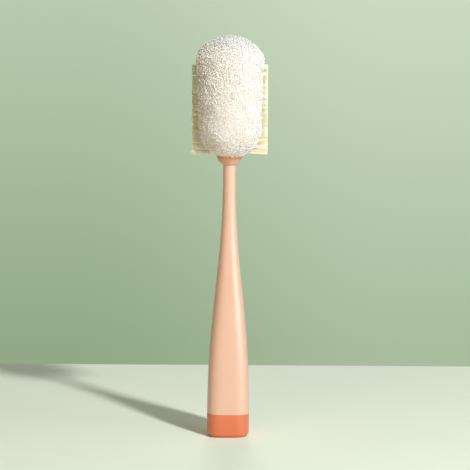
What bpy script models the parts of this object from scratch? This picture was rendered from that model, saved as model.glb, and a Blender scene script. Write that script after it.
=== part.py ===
"""Bottle brush, in metres with +Z up.

A tapered hollow handle stands on a push-in base cap. The brush head screws into its neck: a flat core carries a
rail of bristle tufts on each edge, and two half-round pads of open mesh close over it, their tails held in a cup.
The origin is the middle of the base's underside, and the bristle rows lie in the XZ plane.
"""

import math

import bmesh
import bpy
from mathutils import Matrix, Vector

MM = 0.001

# Fits between pieces
SEAT_GAP = 0.3 * MM
RUNNING_GAP = 0.3 * MM
CUT_OVERRUN = 2.0 * MM

# Handle shell: rounded square at the base, round at the neck
HANDLE_TOP = 204.2 * MM
BASE_WIDTH = 31.5 * MM
NECK_DIAMETER = 9.4 * MM
HANDLE_WALL = 2.0 * MM
HANDLE_EDGE = 0.2 * MM
BORE_LENGTH = 12.0 * MM
TAPER_BIAS = 1.1
BASE_SQUARENESS = 3.4
ROUND = 2.0
HANDLE_SIDES = 40
OUTER_STEPS = 26
INNER_STEPS = 15

# Base cap, with a plug skirt that pushes up into the shell
CAP_HEIGHT = 17.2 * MM
CAP_FILLET = 3.4 * MM
CAP_EDGE = 0.2 * MM
CAP_WALL = 2.4 * MM
SKIRT_HEIGHT = 12.0 * MM
SKIRT_WALL = 3.0 * MM
SKIRT_CHAMFER = 0.6 * MM
FILLET_STEPS = 4

# Seals
CAP_SEAL_DIAMETER = 1.4 * MM
NECK_SEAL_DIAMETER = 0.9 * MM

# Threaded stud of the head, and the stem above it
STUD_DIAMETER = 4.4 * MM
STUD_LENGTH = 9.0 * MM
STUD_CHAMFER = 0.6 * MM
STEM_DIAMETER = 6.4 * MM
STEM_FAIRING = 7.0 * MM

# Cup that holds the tails of the pads
CUP_HEIGHT = 7.2 * MM
CUP_RIM_DIAMETER = 19.4 * MM
CUP_FOOT_DIAMETER = 11.0 * MM
CUP_BULGE = 0.8 * MM
CUP_WALL = 1.2 * MM
CUP_FLOOR = 1.5 * MM
CUP_EDGE = 0.4 * MM
BOWL_STEPS = 7

# Core: a flat blade with a grooved edge each side and a crest that caps the bristle rails
CORE_WIDTH = 13.0 * MM
CORE_THICKNESS = 4.4 * MM
CREST_HEIGHT = 4.6 * MM
CREST_CORNER = 3.0 * MM
CREST_STEPS = 4

# Bristle rails and their tufts
RAIL_HEIGHT = 66.6 * MM
RAIL_DEPTH = 3.0 * MM
TONGUE_DEPTH = 1.4 * MM
TONGUE_THICKNESS = 1.6 * MM
BRISTLE_REACH = 28.1 * MM
BRISTLE_DIAMETER = 0.5 * MM
BRISTLE_ROOT = 0.8 * MM
TUFTS = 16
TUFT_DIAMETER = 2.7 * MM
TUFT_GAP = 0.4 * MM
TUFT_FAN = 9.0 * MM
STRANDS = 12
STRAND_SIDES = 3
TIP_SHARE = 0.8

# Mesh pads
PAD_CROWN_DIAMETER = 50.6 * MM
PAD_FOOT_DIAMETER = 48.0 * MM
PAD_COVER = 16.2 * MM
DOME_HEIGHT = 17.5 * MM
SHOULDER_HEIGHT = 17.0 * MM
SHOULDER_BULGE = 2.8 * MM
PAD_TAIL = 4.6 * MM
PAD_SIDES = 32
DOME_STEPS = 8
SIDE_STEPS = 5
SHOULDER_STEPS = 6
TAIL_STEPS = 3

ROUND_SIDES = 32
RING_SIDES = 8

# Places that follow from the sizes, above the base
SHELL_BOTTOM = CAP_HEIGHT + SEAT_GAP
HEAD_BOTTOM = HANDLE_TOP + SEAT_GAP
BORE_RADIUS = STUD_DIAMETER / 2 + RUNNING_GAP
COUNTERBORE_RADIUS = BORE_RADIUS + NECK_SEAL_DIAMETER + SEAT_GAP
COUNTERBORE_DEPTH = NECK_SEAL_DIAMETER + SEAT_GAP

# Places in the head, above the underside of its cup
RAIL_BOTTOM = CUP_HEIGHT + SEAT_GAP
RAIL_TOP = RAIL_BOTTOM + RAIL_HEIGHT
CORE_TOP = RAIL_TOP + SEAT_GAP + CREST_HEIGHT
PAD_TOP = CORE_TOP + SEAT_GAP + PAD_COVER
RAIL_INSIDE = CORE_WIDTH / 2 + SEAT_GAP
RAIL_OUTSIDE = RAIL_INSIDE + RAIL_DEPTH
TUFT_PITCH = RAIL_HEIGHT / TUFTS

GOLDEN_ANGLE = math.pi * (3 - math.sqrt(5))

PEACH = (0.86, 0.54, 0.37, 1)
ORANGE = (0.80, 0.21, 0.08, 1)
STRAW = (0.86, 0.80, 0.48, 1)
WHITE = (0.88, 0.87, 0.82, 1)
CLEAR_WHITE = (0.75, 0.75, 0.72, 1)


def clear_scene():
    for obj in list(bpy.data.objects):
        bpy.data.objects.remove(obj, do_unlink=True)


def new_collection(name):
    collection = bpy.data.collections.new(name)
    bpy.context.scene.collection.children.link(collection)
    return collection


def new_material(name, colour, roughness):
    material = bpy.data.materials.new(name)
    material.use_nodes = True
    shader = material.node_tree.nodes["Principled BSDF"]
    shader.inputs["Base Color"].default_value = colour
    shader.inputs["Roughness"].default_value = roughness
    shader.inputs["Metallic"].default_value = 0
    return material


def new_frame(name, height, parent=None):
    """An empty on the brush's axis that carries the pieces of one body."""
    empty = bpy.data.objects.new(name, None)
    empty.location = (0, 0, height)
    empty.parent = parent
    parts.objects.link(empty)
    return empty


def new_piece(name, mesh, frame, material):
    obj = bpy.data.objects.new(name, mesh)
    obj.parent = frame
    if not mesh.materials:
        mesh.materials.append(material)
    parts.objects.link(obj)
    return obj


def new_cutter(name, mesh, frame):
    obj = bpy.data.objects.new(name, mesh)
    obj.parent = frame
    obj.hide_render = True
    obj.display_type = "WIRE"
    cutters.objects.link(obj)
    return obj


def mesh_from(bm, name):
    bmesh.ops.recalc_face_normals(bm, faces=bm.faces)
    mesh = bpy.data.meshes.new(name)
    bm.to_mesh(mesh)
    bm.free()
    return mesh


def shade_round(mesh):
    mesh.shade_smooth()
    mesh.set_sharp_from_angle(angle=math.radians(35))


def combine(obj, other, operation):
    modifier = obj.modifiers.new(f"{operation.lower()} {other.name}", "BOOLEAN")
    modifier.operation = operation
    modifier.object = other
    modifier.solver = "EXACT"


def settle(obj):
    """The object's modifiers made part of its mesh, so that another object can share it."""
    graph = bpy.context.evaluated_depsgraph_get()
    graph.update()
    mesh = bpy.data.meshes.new_from_object(obj.evaluated_get(graph))
    mesh.name = obj.name
    obj.modifiers.clear()
    obj.data = mesh
    shade_round(mesh)


def opposite(name, obj):
    """A copy of a piece that shares its mesh, turned half round the brush's axis."""
    twin = new_piece(name, obj.data, obj.parent, None)
    twin.rotation_euler.z = math.pi
    return twin


def turned_mesh(name, profile, closed):
    """An outline of (radius, height) points to turn about Z. The points run down the outer side."""
    mesh = bpy.data.meshes.new(name)
    edges = [(i, i + 1) for i in range(len(profile) - 1)]
    if closed:
        edges.append((len(profile) - 1, 0))
    mesh.from_pydata([(radius, 0, height) for radius, height in profile], edges, [])
    return mesh


def turn(obj, sides):
    screw = obj.modifiers.new("turn", "SCREW")
    screw.steps = sides
    screw.render_steps = sides
    screw.use_merge_vertices = True
    screw.merge_threshold = 0.01 * MM
    screw.use_smooth_shade = True


class Arc:
    """A shallow arc between two (radius, height) points that bulges outwards, and the radius along it."""

    def __init__(self, low, high, bulge):
        chord = math.dist(low, high)
        self.reach = chord**2 / (8 * bulge) + bulge / 2
        back = (self.reach - bulge) / chord
        self.radius = (low[0] + high[0]) / 2 - (high[1] - low[1]) * back
        self.height = (low[1] + high[1]) / 2 + (high[0] - low[0]) * back
        self.low = low[1]
        self.high = high[1]

    def at(self, height):
        return self.radius + math.sqrt(self.reach**2 - (height - self.height) ** 2)

    def heights_down(self, steps, low=None, high=None):
        low = self.low if low is None else low
        high = self.high if high is None else high
        return [high + (low - high) * i / steps for i in range(steps + 1)]


def taper(height):
    """0 at the base and 1 at the neck, level at both ends."""
    share = min(max(height / HANDLE_TOP, 0), 1) ** TAPER_BIAS
    return share**3 * (share * (share * 6 - 15) + 10)


def handle_half_width(height):
    return (BASE_WIDTH + (NECK_DIAMETER - BASE_WIDTH) * taper(height)) / 2


def cavity_half_width(height):
    if height > HANDLE_TOP - BORE_LENGTH:
        return BORE_RADIUS
    return max(handle_half_width(height) - HANDLE_WALL, BORE_RADIUS)


def section(height, half_width):
    """One ring of the handle: a superellipse, squarer towards the base."""
    power = ROUND + (BASE_SQUARENESS - ROUND) * (1 - taper(height))
    ring = []
    for i in range(HANDLE_SIDES):
        angle = math.tau * i / HANDLE_SIDES
        across, along = math.cos(angle), math.sin(angle)
        reach = half_width / (abs(across) ** power + abs(along) ** power) ** (1 / power)
        ring.append((reach * across, reach * along, height))
    return ring


def loft_mesh(name, rings, closed):
    """A skin through rings of equal counts. A closed loft joins its last ring to its first, and an open one is capped."""
    bm = bmesh.new()
    loops = [[bm.verts.new(point) for point in ring] for ring in rings]
    pairs = list(zip(loops, loops[1:]))
    if closed:
        pairs.append((loops[-1], loops[0]))
    else:
        bm.faces.new(loops[0])
        bm.faces.new(loops[-1])
    for low, high in pairs:
        for i in range(len(low)):
            j = (i + 1) % len(low)
            bm.faces.new((low[i], low[j], high[j], high[i]))
    return mesh_from(bm, name)


def spaced(start, end, steps):
    return [start + (end - start) * i / steps for i in range(steps + 1)]


def make_handle_shell(frame):
    bore_bottom = HANDLE_TOP - BORE_LENGTH
    rings = [section(SHELL_BOTTOM, handle_half_width(SHELL_BOTTOM) - HANDLE_EDGE)]
    for height in spaced(SHELL_BOTTOM + HANDLE_EDGE, HANDLE_TOP - HANDLE_EDGE, OUTER_STEPS):
        rings.append(section(height, handle_half_width(height)))
    rings.append(section(HANDLE_TOP, NECK_DIAMETER / 2 - HANDLE_EDGE))
    rings.append(section(HANDLE_TOP, COUNTERBORE_RADIUS))
    rings.append(section(HANDLE_TOP - COUNTERBORE_DEPTH, COUNTERBORE_RADIUS))
    rings.append(section(HANDLE_TOP - COUNTERBORE_DEPTH, BORE_RADIUS))
    rings.append(section(bore_bottom, BORE_RADIUS))
    for height in spaced(bore_bottom - HANDLE_WALL, SHELL_BOTTOM, INNER_STEPS):
        rings.append(section(height, cavity_half_width(height)))
    mesh = loft_mesh("handle_shell", rings, closed=True)
    shade_round(mesh)
    return new_piece("handle_shell", mesh, frame, peach)


def skirt_half_width(height):
    return handle_half_width(height) - HANDLE_WALL - RUNNING_GAP


def make_end_cap(frame):
    skirt_top = CAP_HEIGHT + SKIRT_HEIGHT
    groove_middle = CAP_HEIGHT + SKIRT_HEIGHT / 2
    groove_half = CAP_SEAL_DIAMETER / 2 + SEAT_GAP
    groove_depth = CAP_SEAL_DIAMETER + SEAT_GAP
    rings = []
    for angle in spaced(0, math.pi / 2, FILLET_STEPS):
        height = CAP_FILLET * (1 - math.cos(angle))
        inset = CAP_FILLET * (1 - math.sin(angle))
        rings.append(section(height, handle_half_width(height) - inset))
    rings.append(section(CAP_HEIGHT - CAP_EDGE, handle_half_width(CAP_HEIGHT)))
    rings.append(section(CAP_HEIGHT, handle_half_width(CAP_HEIGHT) - CAP_EDGE))
    rings.append(section(CAP_HEIGHT, skirt_half_width(CAP_HEIGHT)))
    for side in (-1, 1):
        height = groove_middle + side * groove_half
        insets = (0, groove_depth) if side < 0 else (groove_depth, 0)
        for inset in insets:
            rings.append(section(height, skirt_half_width(height) - inset))
    rings.append(section(skirt_top - SKIRT_CHAMFER, skirt_half_width(skirt_top)))
    rings.append(section(skirt_top, skirt_half_width(skirt_top) - SKIRT_CHAMFER))
    rings.append(section(skirt_top, skirt_half_width(skirt_top) - SKIRT_WALL))
    rings.append(section(CAP_WALL, skirt_half_width(CAP_HEIGHT) - SKIRT_WALL))
    mesh = loft_mesh("end_cap", rings, closed=False)
    shade_round(mesh)
    return new_piece("end_cap", mesh, frame, orange)


def make_cap_seal(frame):
    """A rubber ring that follows the skirt's outline in its groove."""
    height = CAP_HEIGHT + SKIRT_HEIGHT / 2
    half_width = skirt_half_width(height) + RUNNING_GAP - SEAT_GAP - CAP_SEAL_DIAMETER / 2
    path = section(height, half_width)
    curve = bpy.data.curves.new("cap_seal", "CURVE")
    curve.dimensions = "3D"
    spline = curve.splines.new("POLY")
    spline.points.add(len(path) - 1)
    for point, place in zip(spline.points, path):
        point.co = (*place, 1)
    spline.use_cyclic_u = True
    curve.bevel_depth = CAP_SEAL_DIAMETER / 2
    curve.bevel_resolution = 2
    curve.materials.append(rubber)
    seal = bpy.data.objects.new("cap_seal", curve)
    seal.parent = frame
    parts.objects.link(seal)
    return seal


def make_neck_seal(frame):
    """A rubber ring round the stud, in the counterbore at the top of the neck. Its own middle is the frame."""
    bm = bmesh.new()
    middle = BORE_RADIUS + NECK_SEAL_DIAMETER / 2
    bmesh.ops.create_circle(
        bm,
        cap_ends=False,
        segments=RING_SIDES,
        radius=NECK_SEAL_DIAMETER / 2,
        matrix=Matrix.Translation((middle, 0, 0)) @ Matrix.Rotation(math.pi / 2, 4, "X"),
    )
    mesh = bpy.data.meshes.new("neck_seal")
    bm.to_mesh(mesh)
    bm.free()
    seal = new_piece("neck_seal", mesh, frame, rubber)
    turn(seal, ROUND_SIDES)
    return seal


def cup_outline():
    low = (CUP_FOOT_DIAMETER / 2, CUP_EDGE)
    high = (CUP_RIM_DIAMETER / 2, CUP_HEIGHT - CUP_EDGE)
    return Arc(low, high, CUP_BULGE)


def make_head_cup(frame):
    bowl = cup_outline()
    rim = CUP_RIM_DIAMETER / 2
    foot = CUP_FOOT_DIAMETER / 2
    outer = [(rim - CUP_EDGE, CUP_HEIGHT)]
    outer += [(bowl.at(height), height) for height in bowl.heights_down(BOWL_STEPS)]
    outer += [(foot - CUP_EDGE, 0), (BORE_RADIUS, 0), (BORE_RADIUS, CUP_FLOOR)]
    inner_heights = bowl.heights_down(BOWL_STEPS, CUP_FLOOR, bowl.high)
    inner = [(bowl.at(height) - CUP_WALL, height) for height in reversed(inner_heights)]
    inner.append((rim - CUP_WALL, CUP_HEIGHT))
    cup = new_piece("head_cup", turned_mesh("head_cup", outer + inner, True), frame, peach)
    turn(cup, ROUND_SIDES)
    return cup


def make_stem(frame):
    """The turned lower part of the core: a fairing in the blade, a stem that stands on the cup's floor, and a stud."""
    shoulder = CUP_FLOOR + SEAT_GAP
    stem = STEM_DIAMETER / 2
    stud = STUD_DIAMETER / 2
    profile = [
        (0, RAIL_BOTTOM + STEM_FAIRING),
        (CORE_THICKNESS / 4, RAIL_BOTTOM + STEM_FAIRING),
        (stem, RAIL_BOTTOM),
        (stem, shoulder),
        (stud, shoulder),
        (stud, STUD_CHAMFER - STUD_LENGTH),
        (stud - STUD_CHAMFER, -STUD_LENGTH),
        (0, -STUD_LENGTH),
    ]
    stem_piece = new_cutter("stem", turned_mesh("stem", profile, False), frame)
    turn(stem_piece, ROUND_SIDES)
    return stem_piece


def prism_mesh(name, outline, low, high):
    """A flat outline of (x, y) points, extruded from one height to another."""
    return loft_mesh(name, [[(x, y, height) for x, y in outline] for height in (low, high)], closed=False)


def blade_outline():
    """The core seen from the front, as (across, up): a blade, and a crest as wide as the rails with round corners."""
    half = CORE_WIDTH / 2
    crest_low = RAIL_TOP + SEAT_GAP
    right = [(half, RAIL_BOTTOM), (half, crest_low), (RAIL_OUTSIDE, crest_low)]
    for angle in spaced(0, math.pi / 2, CREST_STEPS):
        across = RAIL_OUTSIDE - CREST_CORNER * (1 - math.cos(angle))
        right.append((across, CORE_TOP - CREST_CORNER * (1 - math.sin(angle))))
    return right + [(-across, up) for across, up in reversed(right)]


def make_head_core(frame):
    outline = blade_outline()
    stand = Matrix.Rotation(math.pi / 2, 4, "X")
    mesh = prism_mesh("head_core", outline, -CORE_THICKNESS / 2, CORE_THICKNESS / 2)
    mesh.transform(stand)
    core = new_piece("head_core", mesh, frame, clear_white)
    groove_floor = CORE_WIDTH / 2 - TONGUE_DEPTH - SEAT_GAP
    groove_half = TONGUE_THICKNESS / 2 + SEAT_GAP
    groove = [
        (groove_floor, -groove_half),
        (RAIL_INSIDE, -groove_half),
        (RAIL_INSIDE, groove_half),
        (groove_floor, groove_half),
    ]
    for name, side in (("right", 1), ("left", -1)):
        cutter_mesh = prism_mesh(
            f"groove_{name}",
            [(side * x, side * y) for x, y in groove],
            RAIL_BOTTOM - CUT_OVERRUN,
            RAIL_TOP + SEAT_GAP,
        )
        combine(core, new_cutter(f"groove_{name}", cutter_mesh, frame), "DIFFERENCE")
    combine(core, make_stem(frame), "UNION")
    return core


def strand(bm, root, tip):
    """A thin tapered prism from root to tip."""
    along = tip - root
    turn_to = along.to_track_quat("Z", "Y").to_matrix().to_4x4()
    bmesh.ops.create_cone(
        bm,
        cap_ends=True,
        segments=STRAND_SIDES,
        radius1=BRISTLE_DIAMETER / 2,
        radius2=BRISTLE_DIAMETER / 2 * TIP_SHARE,
        depth=along.length,
        matrix=Matrix.Translation((root + tip) / 2) @ turn_to,
    )


def tuft(bm, height):
    """One bundle of strands that fans out from its hole. Each keeps its place in the bundle, so none cross."""
    root_reach = (TUFT_DIAMETER - BRISTLE_DIAMETER) / 2
    fan_across = (TUFT_FAN - BRISTLE_DIAMETER) / 2
    fan_up = (TUFT_PITCH - TUFT_GAP - BRISTLE_DIAMETER) / 2
    for i in range(STRANDS):
        out = math.sqrt((i + 0.5) / STRANDS)
        y, z = out * math.cos(i * GOLDEN_ANGLE), out * math.sin(i * GOLDEN_ANGLE)
        root = Vector((RAIL_OUTSIDE - BRISTLE_ROOT, root_reach * y, height + root_reach * z))
        tip = Vector((BRISTLE_REACH, fan_across * y, height + fan_up * z))
        strand(bm, root, tip)


def make_bristles(frame):
    """The right rail with its tufts. Its tongue lies in the core's edge groove."""
    half = CORE_THICKNESS / 2
    tongue = TONGUE_THICKNESS / 2
    tongue_end = CORE_WIDTH / 2 - TONGUE_DEPTH
    outline = [
        (RAIL_OUTSIDE, -half),
        (RAIL_OUTSIDE, half),
        (RAIL_INSIDE, half),
        (RAIL_INSIDE, tongue),
        (tongue_end, tongue),
        (tongue_end, -tongue),
        (RAIL_INSIDE, -tongue),
        (RAIL_INSIDE, -half),
    ]
    rail = new_piece("bristles_right", prism_mesh("rail", outline, RAIL_BOTTOM, RAIL_TOP), frame, straw)
    bm = bmesh.new()
    for i in range(TUFTS):
        tuft(bm, RAIL_BOTTOM + TUFT_PITCH * (i + 0.5))
    tufts = new_cutter("tufts", mesh_from(bm, "tufts"), frame)
    combine(rail, tufts, "UNION")
    settle(rail)
    opposite("bristles_left", rail)
    return rail


def pad_profile():
    """(radius, height) points down the outside of the closed pads: a dome, a side, a round shoulder and a tail."""
    crown = PAD_CROWN_DIAMETER / 2
    foot = PAD_FOOT_DIAMETER / 2
    rim = CUP_RIM_DIAMETER / 2
    dome_low = PAD_TOP - DOME_HEIGHT
    shoulder = Arc((rim, RAIL_BOTTOM), (foot, RAIL_BOTTOM + SHOULDER_HEIGHT), SHOULDER_BULGE)
    points = []
    for angle in spaced(0, math.pi / 2, DOME_STEPS):
        points.append((crown * math.sin(angle), dome_low + DOME_HEIGHT * math.cos(angle)))
    for i in range(1, SIDE_STEPS):
        share = i / SIDE_STEPS
        points.append((crown + (foot - crown) * share, dome_low + (shoulder.high - dome_low) * share))
    points += [(shoulder.at(height), height) for height in shoulder.heights_down(SHOULDER_STEPS)]
    bowl = cup_outline()
    tail_low = RAIL_BOTTOM - PAD_TAIL
    for height in bowl.heights_down(TAIL_STEPS, tail_low, RAIL_BOTTOM):
        inside = bowl.at(min(height, bowl.high)) - CUP_WALL - SEAT_GAP
        points.append((inside, height))
    points.append((0, tail_low))
    return points


def make_pads(frame):
    pad = new_piece("pad_front", turned_mesh("pad", pad_profile(), False), frame, white)
    turn(pad, PAD_SIDES)
    wide = BRISTLE_REACH + CUT_OVERRUN
    low = RAIL_BOTTOM - PAD_TAIL - CUT_OVERRUN
    back = [(-wide, -SEAT_GAP / 2), (wide, -SEAT_GAP / 2), (wide, wide), (-wide, wide)]
    half_cutter = new_cutter("back_half", prism_mesh("back_half", back, low, PAD_TOP + CUT_OVERRUN), frame)
    combine(pad, half_cutter, "DIFFERENCE")
    near = CORE_THICKNESS / 2 + SEAT_GAP
    far = max(near, TUFT_FAN / 2 + SEAT_GAP)
    slot = [
        (wide, -far),
        (wide, far),
        (RAIL_OUTSIDE + SEAT_GAP, near),
        (-RAIL_OUTSIDE - SEAT_GAP, near),
        (-wide, far),
        (-wide, -far),
        (-RAIL_OUTSIDE - SEAT_GAP, -near),
        (RAIL_OUTSIDE + SEAT_GAP, -near),
    ]
    slot_cutter = new_cutter("core_slot", prism_mesh("core_slot", slot, low, CORE_TOP + SEAT_GAP), frame)
    combine(pad, slot_cutter, "DIFFERENCE")
    stem_radius = STEM_DIAMETER / 2 + SEAT_GAP
    stem_hole = [
        (stem_radius, RAIL_BOTTOM + STEM_FAIRING + SEAT_GAP),
        (stem_radius, low),
        (0, low),
        (0, RAIL_BOTTOM + STEM_FAIRING + SEAT_GAP),
    ]
    hole_cutter = new_cutter("stem_hole", turned_mesh("stem_hole", stem_hole, True), frame)
    turn(hole_cutter, ROUND_SIDES)
    combine(pad, hole_cutter, "DIFFERENCE")
    settle(pad)
    opposite("pad_back", pad)
    return pad


clear_scene()
parts = new_collection("bottle_brush")
cutters = new_collection("cutters")

peach = new_material("peach plastic", PEACH, 0.45)
orange = new_material("orange plastic", ORANGE, 0.45)
straw = new_material("straw nylon", STRAW, 0.4)
white = new_material("white mesh", WHITE, 0.8)
clear_white = new_material("natural plastic", CLEAR_WHITE, 0.5)
rubber = new_material("grey silicone", (0.55, 0.55, 0.53, 1), 0.6)

base_frame = new_frame("base_frame", 0)
handle_frame = new_frame("handle_frame", 0, base_frame)
seal_frame = new_frame("neck_seal_frame", HANDLE_TOP - COUNTERBORE_DEPTH + SEAT_GAP + NECK_SEAL_DIAMETER / 2)
head_frame = new_frame("head_frame", HEAD_BOTTOM)

make_end_cap(base_frame)
make_cap_seal(base_frame)
make_handle_shell(handle_frame)
make_neck_seal(seal_frame)
make_head_cup(head_frame)
make_head_core(head_frame)
make_bristles(head_frame)
make_pads(head_frame)
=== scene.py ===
"""Bottle brush: its looks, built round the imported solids, in metres with +Z up.

The handle, cap, cup and rings are lofted again from the solids' own outlines with many more faces. Each
bristle row is over a thousand nylon strands in tufts. Each pad is a dented body under a layer of filament
that winds in small loops, and over two thousand short curls of filament lie on top. Every finish is
procedural.
"""

import math
from collections import namedtuple

import bmesh
import bpy
import numpy as np
from mathutils import Matrix, Vector, noise


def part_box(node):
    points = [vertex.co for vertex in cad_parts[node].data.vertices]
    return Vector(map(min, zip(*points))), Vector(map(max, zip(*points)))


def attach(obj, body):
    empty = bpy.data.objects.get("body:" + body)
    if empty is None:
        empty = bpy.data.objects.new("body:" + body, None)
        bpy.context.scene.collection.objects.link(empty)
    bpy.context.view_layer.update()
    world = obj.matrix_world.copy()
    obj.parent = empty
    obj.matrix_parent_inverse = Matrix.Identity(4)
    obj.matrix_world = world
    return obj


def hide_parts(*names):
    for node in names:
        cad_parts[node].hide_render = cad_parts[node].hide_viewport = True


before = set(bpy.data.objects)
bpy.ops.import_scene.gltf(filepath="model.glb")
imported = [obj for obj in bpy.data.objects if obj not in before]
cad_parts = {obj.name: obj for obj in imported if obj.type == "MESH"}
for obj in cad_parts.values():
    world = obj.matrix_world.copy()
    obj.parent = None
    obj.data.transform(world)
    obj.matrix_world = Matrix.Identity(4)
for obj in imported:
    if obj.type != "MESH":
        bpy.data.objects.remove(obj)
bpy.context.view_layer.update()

MM = 0.001
SEED = 11

# Places from the frame
shell_low, shell_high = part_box("handle_shell")
cup_low, cup_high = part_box("head_cup")
core_low, core_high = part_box("head_core")
cap_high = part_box("end_cap")[1]
row_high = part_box("bristles_right")[1]
pad_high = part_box("pad_front")[1]

SHELL_BOTTOM = shell_low.z
HANDLE_TOP = shell_high.z
HEAD_BOTTOM = cup_low.z
CUP_HEIGHT = cup_high.z - cup_low.z
CUP_RIM = cup_high.x
STUD_END = core_low.z
CORE_TOP = core_high.z
BASE_WIDTH = 2 * cap_high.x
BRISTLE_REACH = row_high.x
PAD_TOP = pad_high.z

# Fits between pieces
SEAT_GAP = 0.3 * MM
CAP_SEAM = 0.12 * MM
CUP_SEAM = 0.12 * MM
RUNNING_GAP = 0.3 * MM

# Handle and its cap
NECK_DIAMETER = 9.4 * MM
HANDLE_WALL = 2.0 * MM
HANDLE_EDGE = 0.15 * MM
BORE_LENGTH = 12.0 * MM
TAPER_BIAS = 1.1
BASE_SQUARENESS = 3.4
ROUND = 2.0
CAP_HEIGHT = SHELL_BOTTOM - CAP_SEAM
CAP_FILLET = 3.4 * MM
CAP_EDGE = 0.15 * MM
CAP_WALL = 2.4 * MM
SKIRT_HEIGHT = cap_high.z - CAP_HEIGHT
SKIRT_WALL = 3.0 * MM
SKIRT_CHAMFER = 0.6 * MM
CAP_SEAL_DIAMETER = 1.4 * MM
NECK_SEAL_DIAMETER = 0.9 * MM

# Stud and its thread, stem and cup. The thread thins to THREAD_TIP of itself over its last THREAD_FADE steps.
STUD_DIAMETER = 4.4 * MM
STEM_DIAMETER = 6.4 * MM
STEM_FAIRING = 7.0 * MM
THREAD_PITCH = 2.0 * MM
THREAD_RADIUS = 0.2 * MM
THREAD_CREST = 2.44 * MM
THREAD_STEPS = 180
THREAD_FADE = 12
THREAD_TIP = 0.25
BORE_RADIUS = STUD_DIAMETER / 2 + RUNNING_GAP
COUNTERBORE_RADIUS = BORE_RADIUS + NECK_SEAL_DIAMETER + SEAT_GAP
COUNTERBORE_DEPTH = NECK_SEAL_DIAMETER + SEAT_GAP
CUP_FOOT_DIAMETER = 11.0 * MM
CUP_FOOT = HANDLE_TOP + CUP_SEAM
CUP_BULGE = 0.8 * MM
CUP_WALL = 1.2 * MM
CUP_FLOOR = 1.5 * MM
CUP_EDGE = 0.3 * MM

# How many steps the lofts take, and the angles from which an edge is sharp
HANDLE_RINGS = 120
HOLLOW_RINGS = 70
CAP_RINGS = 8
CAP_FILLET_RINGS = 14
BOWL_RINGS = 24
BOWL_INSIDE_RINGS = 20
SEAL_SIDES = 20
LOFT_SHARP = math.radians(38)
STRAND_SHARP = math.radians(75)

# Core and bristle rows. In tone, 0 is deep straw and 1 is pale: a tuft strays by up to TUFT_TONE, and
# STRAND_TONE is the strands' mean and scatter.
CORE_THICKNESS = 4.4 * MM
RAIL_BOTTOM = HEAD_BOTTOM + CUP_HEIGHT + SEAT_GAP
RAIL_TOP = CORE_TOP - 4.9 * MM
RAIL_INSIDE = 6.8 * MM
RAIL_OUTSIDE = 9.8 * MM
RAIL_TONE = 0.2
TUFTS = 16
TUFT_DIAMETER = 2.9 * MM
TUFT_FAN = 9.0 * MM
TUFT_OVERLAP = 0.3 * MM
TUFT_STRANDS = 68
TUFT_STRAY = 0.2 * MM
TUFT_TONE = 0.35
FAN_CURVE = 1.2
STRAND_WALK = np.array([0, 0.35, 0.7, 1])
STRAND_RADIUS = 0.14 * MM
STRAND_TAPER = 0.15
STRAND_BEND = 0.35 * MM
STRAND_BOW = 0.8
STRAND_TONE = (0.65, 0.45)
TIP_SCATTER = 0.24 * MM
TRIM_SCATTER = 0.16 * MM
BRISTLE_ROOT = 0.8 * MM

# Pads: their outline, slow lumps, the slot for the bristles and the dented body
PAD_CROWN = 25.0 * MM
PAD_FOOT = 23.6 * MM
DOME_HEIGHT = 17.5 * MM
SHOULDER_HEIGHT = 17.0 * MM
SHOULDER_BULGE = 2.8 * MM
PAD_TAIL = 4.6 * MM
HEM_REACH = 0.4 * MM
HEM_DROP = 0.6 * MM
CROWN_SLIM = 0.055
DOME_STEPS = 90
SIDE_STEPS = 40
SHOULDER_STEPS = 60
LUMP = 0.35 * MM
LUMP_LENGTH = 15 * MM
LUMP_WAVES = 7
LUMP_GAIN = 1.6
SLOT_FADE = 2.5 * MM
BODY_DEPTH = 1.15 * MM
BODY_STEP = 0.80 * MM
BODY_TOP = 1.5 * MM
BODY_EDGE = 0.5 * MM
BODY_AROUND = 108
BODY_BACK = 10
# The body's low tone is painted shade: a warmer white deep in the pad, where its gaps are shaded.
BODY_SHADE_TONE = 0.1
TAIL_ANGLE = 0.45
TAIL_STEPS = 4
CELL = 1.8 * MM
CELL_DEPTH = 0.5 * MM
CELL_WALL = 0.45

# The layer of filament that winds over the body: the spacing of its runs, how far they slope and how near
# the crown and the hem they level out, the pitch and reach of the loops, their depth under the skin and how
# far they swing from it, the points in a loop, the filament's radius, how near the crown it comes, and how
# near the hem, as a share of a loop's reach
RUN_SPACING = 3.0 * MM
RUN_SLOPE = -9 * MM
RUN_LEVEL = 22 * MM
LOOP_PITCH = 2.3 * MM
LOOP_REACH = 0.95 * MM
LOOP_DEPTH = 0.85 * MM
LOOP_SWING = 0.60 * MM
LOOP_STEPS = 7
LOOP_RADIUS = 0.25 * MM
CROWN_CLEAR = 0.3 * MM
HEM_CLEAR = 0.7

# The curls on top: how many, how far they stray from an even spread (in places of their order down the pad,
# and as a share of its width), their turns and points, their size and how oval they are, their depth, how
# far some stand out past the rest, how far they lean, how much flatter they lie on the crown, their
# filament's radius, and how near the slot's edge they start, as a share of their least size
CURLS = 2300
CURL_STRAY = (6, 0.008)
CURL_TURNS = 1.15
CURL_STEPS = 8
CURL_REACH = (0.60 * MM, 0.95 * MM)
CURL_SLIM = (0.7, 1)
CURL_DEPTH = (0.0 * MM, 0.60 * MM)
FUZZ = 0.4 * MM
FUZZ_SHARE = 0.12
CURL_LEAN = 0.45
CROWN_TIGHT = 0.8
CURL_RADIUS = 0.26 * MM
CURL_EDGE = 0.45

# The filament's mean tone, where 0 is warm and 1 is white, and how much the curls differ
FILAMENT_TONE = 0.65
CURL_TONE = 0.25

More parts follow.
